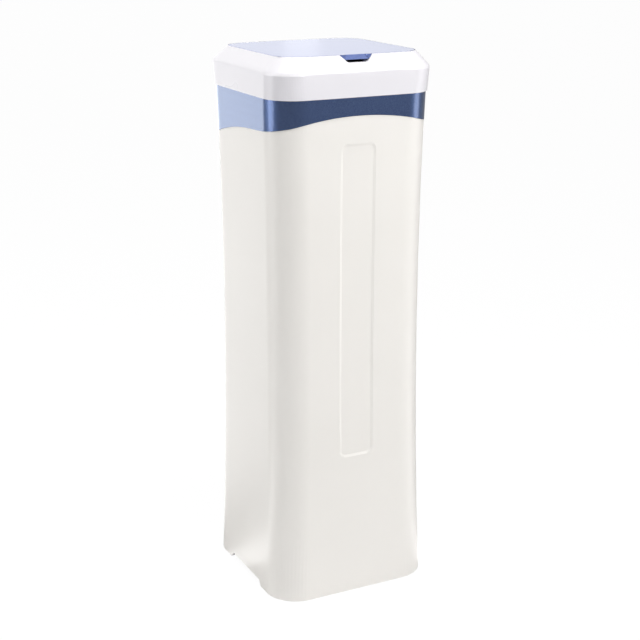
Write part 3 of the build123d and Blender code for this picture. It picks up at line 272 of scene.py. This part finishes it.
def steel(name, colour):
    """Drawn or plated steel with a fine grain."""
    material, shader = finish(name, linear(*colour), metallic=1.0)
    low, high = steel_roughness
    skin = use_group(material, moulded_skin, Grain_Scale=steel_grain, Rough_Low=low, Rough_High=high)
    material.node_tree.links.new(skin.outputs["Roughness"], shader.inputs["Roughness"])
    bump_from(material, shader, skin.outputs["Height"], steel_strength, steel_depth)
    return material


def clear_plastic(name, colour):
    """The display's clear window."""
    material, shader = finish(name, linear(*colour), lens_roughness)
    shader.inputs["Transmission Weight"].default_value = 1.0
    return material


# Moulded plastics and loose media by slot: colour, cloud colour, least and most roughness, and what differs
plastics = {
    "shell_white": ((244, 241, 236), (240, 237, 231), (0.34, 0.42), {"depth": 0.00003}),
    "collar_white": ((238, 236, 240), (235, 233, 237), (0.26, 0.33), {"coat": 0.1}),
    "tray_black": ((40, 40, 42), (32, 32, 34), (0.5, 0.6), {}),
    "vessel_fibre": ((52, 58, 66), (38, 42, 50), (0.4, 0.55), {}),
    "valve_black": ((38, 38, 40), (30, 30, 31), (0.38, 0.5), {}),
    "boot_black": ((30, 30, 31), (24, 24, 25), (0.6, 0.75), {}),
    "seal_rubber": ((26, 26, 27), (21, 21, 22), (0.55, 0.7), {}),
    "disc_ceramic": ((232, 228, 216), (224, 220, 207), (0.15, 0.25), {}),
    "gear_white": ((230, 229, 222), (222, 221, 214), (0.3, 0.4), {}),
    "head_grey": ((70, 74, 80), (60, 64, 70), (0.4, 0.52), {}),
    "board_green": ((40, 104, 62), (30, 86, 50), (0.25, 0.35), {}),
    "lcd_dark": ((72, 84, 78), (62, 73, 68), (0.15, 0.2), {}),
    "button_grey": ((176, 180, 188), (166, 170, 178), (0.45, 0.55), {}),
    "riser_white": ((228, 230, 230), (220, 222, 222), (0.4, 0.5), {}),
    "gravel": ((168, 152, 124), (120, 106, 84), (0.7, 0.9), {"grain": 260.0, "depth": 0.001}),
    "carbon": ((34, 34, 35), (20, 20, 21), (0.5, 0.9), {"grain": 420.0, "depth": 0.001}),
}
materials = {
    name: moulded_plastic(name, colour, cloud, roughness, **differs)
    for name, (colour, cloud, roughness, differs) in plastics.items()
}
materials["metallic_blue"] = metallic_lacquer(
    "metallic_blue", (97, 121, 169), (60, 78, 123), edge=(0.88, 0.97, 1.0, 1.0), coat_roughness=0.05
)
materials["screw_steel"] = steel("screw_steel", (196, 196, 192))
materials["motor_metal"] = steel("motor_metal", (170, 170, 168))
materials["lens_clear"] = clear_plastic("lens_clear", (210, 218, 222))
# The lid's own copy of the band's blue lacquer, painted lighter and bluer: a painted sheen for the pale
# reflection the lid shows at a glancing angle. Its edge tint and coat roughness differ too.
lid_lacquer_painted_sheen = metallic_lacquer(
    "lid_lacquer_painted_sheen", (104, 124, 186), (74, 92, 150), edge=(0.8, 0.84, 1.0, 1.0), coat_roughness=0.2
)

for name, node in nodes.items():
    node.data.materials.clear()
    node.data.materials.append(materials[slot_of[name]])


def select_only(*pieces):
    """These pieces selected and nothing else, the first of them active."""
    bpy.ops.object.select_all(action="DESELECT")
    for piece in pieces:
        piece.select_set(True)
    bpy.context.view_layer.objects.active = pieces[0]


def apply_modifier(piece, kind, **settings):
    """A modifier with these settings, put on the piece and applied."""
    modifier = piece.modifiers.new(kind.lower(), kind)
    for name, value in settings.items():
        setattr(modifier, name, value)
    bpy.context.view_layer.objects.active = piece
    bpy.ops.object.modifier_apply(modifier=modifier.name)


def stand_for(piece, name):
    """The piece rides on the CAD node's body and is shown in its place."""
    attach(piece, body_of(nodes[name])[0])
    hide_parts(name)


# Moulded shells: every CAD node as a merged copy with smooth shading
def smooth_copy(name):
    """A merged copy of a CAD node, with its normals recalculated and its flat faces kept flat."""
    source = nodes[name]
    piece = bpy.data.objects.new(name + "_skin", source.data.copy())
    bpy.context.collection.objects.link(piece)
    piece.matrix_world = source.matrix_world.copy()
    select_only(piece)
    bpy.ops.object.mode_set(mode="EDIT")
    bpy.ops.mesh.select_all(action="SELECT")
    bpy.ops.mesh.remove_doubles(threshold=merge_distance)
    bpy.ops.mesh.normals_make_consistent(inside=False)
    bpy.ops.object.mode_set(mode="OBJECT")
    bpy.ops.object.shade_smooth_by_angle(angle=shell_angle)
    apply_modifier(piece, "WEIGHTED_NORMAL", keep_sharp=True)
    stand_for(piece, name)
    return piece


skins = {name: smooth_copy(name) for name in nodes}
# The lid takes the lacquer copy with the painted sheen in its colour.
skins["flip_lid"].data.materials[0] = lid_lacquer_painted_sheen


# Screws: true heads in place of the CAD prisms
def loose_parts(mesh):
    """The points of each part of a mesh that hangs together."""
    work = bmesh.new()
    work.from_mesh(mesh)
    left = set(work.verts)
    parts = []
    while left:
        stack = [left.pop()]
        part = set(stack)
        while stack:
            for edge in stack.pop().link_edges:
                found = [vert for vert in edge.verts if vert not in part]
                part.update(found)
                stack += found
        left -= part
        parts.append([vert.co.copy() for vert in part])
    work.free()
    return parts


def screw_sizes(points):
    """An upright screw's axis, head radius, shank radius, shoulder, head end and shank end."""
    x, y = ((min(p[i] for p in points) + max(p[i] for p in points)) / 2 for i in range(2))
    low, high = min(p.z for p in points), max(p.z for p in points)
    between = [p.z for p in points if low + same_level < p.z < high - same_level]
    shoulder = sum(between) / len(between)
    head_end, shank_end = (low, high) if shoulder - low < high - shoulder else (high, low)
    head_radius, shank_radius = (
        max(Vector((p.x - x, p.y - y)).length for p in points if abs(p.z - end) < same_level)
        for end in (head_end, shank_end)
    )
    return x, y, head_radius, shank_radius, shoulder, head_end, shank_end


def upright_bar(x, y, start, end, radius, sides):
    """A prism or cylinder between two heights, with its place in its mesh."""
    bpy.ops.object.select_all(action="DESELECT")
    bpy.ops.mesh.primitive_cylinder_add(
        vertices=sides, radius=radius, depth=abs(end - start), location=(x, y, (start + end) / 2)
    )
    bpy.ops.object.transform_apply(location=True, rotation=True, scale=True)
    return bpy.context.object


def cut_cross(head, x, y, radius, head_end, height):
    """A cross recess in the end of a screw's head."""
    for along, across in ((recess_length, recess_width), (recess_width, recess_length)):
        bpy.ops.object.select_all(action="DESELECT")
        bpy.ops.mesh.primitive_cube_add(size=1.0, location=(x, y, head_end))
        arm = bpy.context.object
        arm.scale = (radius * along, radius * across, height * recess_height)
        bpy.ops.object.transform_apply(location=True, rotation=True, scale=True)
        apply_modifier(head, "BOOLEAN", operation="DIFFERENCE", solver="EXACT", object=arm)
        bpy.data.objects.remove(arm)


def dress_screws(name, hexagonal):
    """A node's screws with rounded heads and a cross recess, or hexagon heads, on round shanks."""
    plain = skins.pop(name)
    sides, edge = (hexagon_sides, hexagon_edge) if hexagonal else (head_sides, round_edge)
    parts = []
    for x, y, head_radius, shank_radius, shoulder, head_end, shank_end in sorted(
        screw_sizes(points) for points in loose_parts(plain.data)
    ):
        head = upright_bar(x, y, shoulder, head_end, head_radius, sides)
        height = abs(head_end - shoulder)
        apply_modifier(head, "BEVEL", width=height * edge, segments=edge_steps, limit_method="ANGLE")
        if not hexagonal:
            cut_cross(head, x, y, head_radius, head_end, height)
        parts += [head, upright_bar(x, y, shoulder, shank_end, shank_radius, shank_sides)]
    select_only(*parts)
    bpy.ops.object.join()
    piece = bpy.context.object
    piece.name = name + "_dressed"
    bpy.ops.object.shade_smooth_by_angle(angle=screw_angle)
    piece.data.materials.clear()
    piece.data.materials.append(materials[slot_of[name]])
    stand_for(piece, name)
    bpy.data.objects.remove(plain)


for name in ("base_screws", "collar_screws"):
    dress_screws(name, hexagonal=False)
for name in ("bonnet_screws", "motor_screws"):
    dress_screws(name, hexagonal=True)


# Studio: what mirrors see, the floor, the room and the lamps
def studio_walls(make, join, place, front, back):
    """Brightness by level direction: a bright back wall, a softbox at each side, dark in front."""
    flat = make("ShaderNodeVectorMath")
    flat.operation = "MULTIPLY"
    flat.inputs[1].default_value = (1.0, 1.0, 0.0)
    join(place, flat.inputs[0])
    heading = make("ShaderNodeVectorMath")
    heading.operation = "NORMALIZE"
    join(flat.outputs["Vector"], heading.inputs[0])
    split = make("ShaderNodeSeparateXYZ")
    join(heading.outputs["Vector"], split.inputs["Vector"])
    sideways = make("ShaderNodeMath")
    sideways.operation = "MAXIMUM"
    for index, way in enumerate(side_box_ways):
        towards = make("ShaderNodeVectorMath")
        towards.operation = "DOT_PRODUCT"
        towards.inputs[1].default_value = way
        join(heading.outputs["Vector"], towards.inputs[0])
        join(towards.outputs["Value"], sideways.inputs[index])
    both = make("ShaderNodeMath")
    for index, (value, fade, level) in enumerate(
        (
            (split.outputs["Y"], back_wall_fade, back),
            (sideways.outputs["Value"], side_box_fade, side_boxes),
        )
    ):
        ramp = make("ShaderNodeMapRange")
        ramp.interpolation_type = "SMOOTHSTEP"
        ramp.inputs["From Min"].default_value, ramp.inputs["From Max"].default_value = fade
        ramp.inputs["To Min"].default_value = 0.0
        ramp.inputs["To Max"].default_value = level - front
        join(value, ramp.inputs["Value"])
        join(ramp.outputs["Result"], both.inputs[index])
    total = make("ShaderNodeMath")
    total.inputs[1].default_value = front
    join(both.outputs["Value"], total.inputs[0])
    return total.outputs["Value"]


def swap_in(make, join, share, usual, chosen):
    """The usual shader with the chosen one in its place, by a share."""
    mix = make("ShaderNodeMixShader")
    join(share, mix.inputs["Fac"])
    join(usual, mix.inputs[1])
    join(chosen, mix.inputs[2])
    return mix.outputs["Shader"]


def even_white(light, level):
    """An emission or background node made white, at one level."""
    light.inputs["Color"].default_value = white
    light.inputs["Strength"].default_value = level
    return light


def white_by_walls(light, join, walls):
    """An emission or background node made white, at the studio walls' brightness."""
    light.inputs["Color"].default_value = white
    join(walls, light.inputs["Strength"])
    return light


bpy.ops.object.select_all(action="DESELECT")
bpy.ops.mesh.primitive_plane_add(size=floor_size)
floor = bpy.context.object
floor.name = "floor"
floor_material, floor_shader = finish("floor_white", linear(246, 246, 248), floor_roughness)
floor.data.materials.append(floor_material)
make, join = floor_material.node_tree.nodes.new, floor_material.node_tree.links.new
rays = make("ShaderNodeLightPath")
place = make("ShaderNodeTexCoord")
walls = studio_walls(make, join, place.outputs["Object"], floor_front, floor_back)
seen = even_white(make("ShaderNodeEmission"), floor_seen)
mirrored = white_by_walls(make("ShaderNodeEmission"), join, walls)
evenly = make("ShaderNodeMath")
evenly.operation = "MULTIPLY"
evenly.inputs[1].default_value = floor_even
join(rays.outputs["Is Camera Ray"], evenly.inputs[0])
to_eye = swap_in(make, join, evenly.outputs["Value"], floor_shader.outputs["BSDF"], seen.outputs["Emission"])
to_all = swap_in(make, join, rays.outputs["Is Glossy Ray"], to_eye, mirrored.outputs["Emission"])
join(to_all, floor_material.node_tree.nodes["Material Output"].inputs["Surface"])

world = bpy.data.worlds.new("studio")
bpy.context.scene.world = world
world.use_nodes = True
make, join = world.node_tree.nodes.new, world.node_tree.links.new
rays = make("ShaderNodeLightPath")
place = make("ShaderNodeTexCoord")
walls = studio_walls(make, join, place.outputs["Generated"], room_front, room_back)
surround = even_white(world.node_tree.nodes["Background"], surround_level)
backdrop = even_white(make("ShaderNodeBackground"), backdrop_level)
room = white_by_walls(make("ShaderNodeBackground"), join, walls)
to_mirrors = swap_in(
    make, join, rays.outputs["Is Glossy Ray"], surround.outputs["Background"], room.outputs["Background"]
)
to_all = swap_in(make, join, rays.outputs["Is Camera Ray"], to_mirrors, backdrop.outputs["Background"])
join(to_all, world.node_tree.nodes["World Output"].inputs["Surface"])

# Softboxes: place, what they face, width, height and power
softboxes = {
    "key_left": ((-2.9, 1.3, 1.5), (0.0, 0.0, 0.6), 1.6, 2.0, 36.0),
    "fill_front": ((1.25, -2.5, 2.25), (0.0, 0.0, 1.0), 1.3, 1.3, 52.0),
    "over_top": ((-0.35, -0.55, 3.3), (0.0, 0.0, 1.05), 1.4, 0.9, 38.0),
    "lid_glow": ((1.26, 2.68, 1.39), (0.0, 0.0, 1.1), 0.14, 0.03, 0.03),
}
for name, (spot, faces, width, height, power) in softboxes.items():
    lamp_data = bpy.data.lights.new(name, "AREA")
    lamp_data.shape = "RECTANGLE"
    lamp_data.size = width
    lamp_data.size_y = height
    lamp_data.energy = power
    lamp = bpy.data.objects.new(name, lamp_data)
    bpy.context.collection.objects.link(lamp)
    lamp.location = spot
    lamp.rotation_euler = (Vector(faces) - Vector(spot)).to_track_quat("-Z", "Y").to_euler()
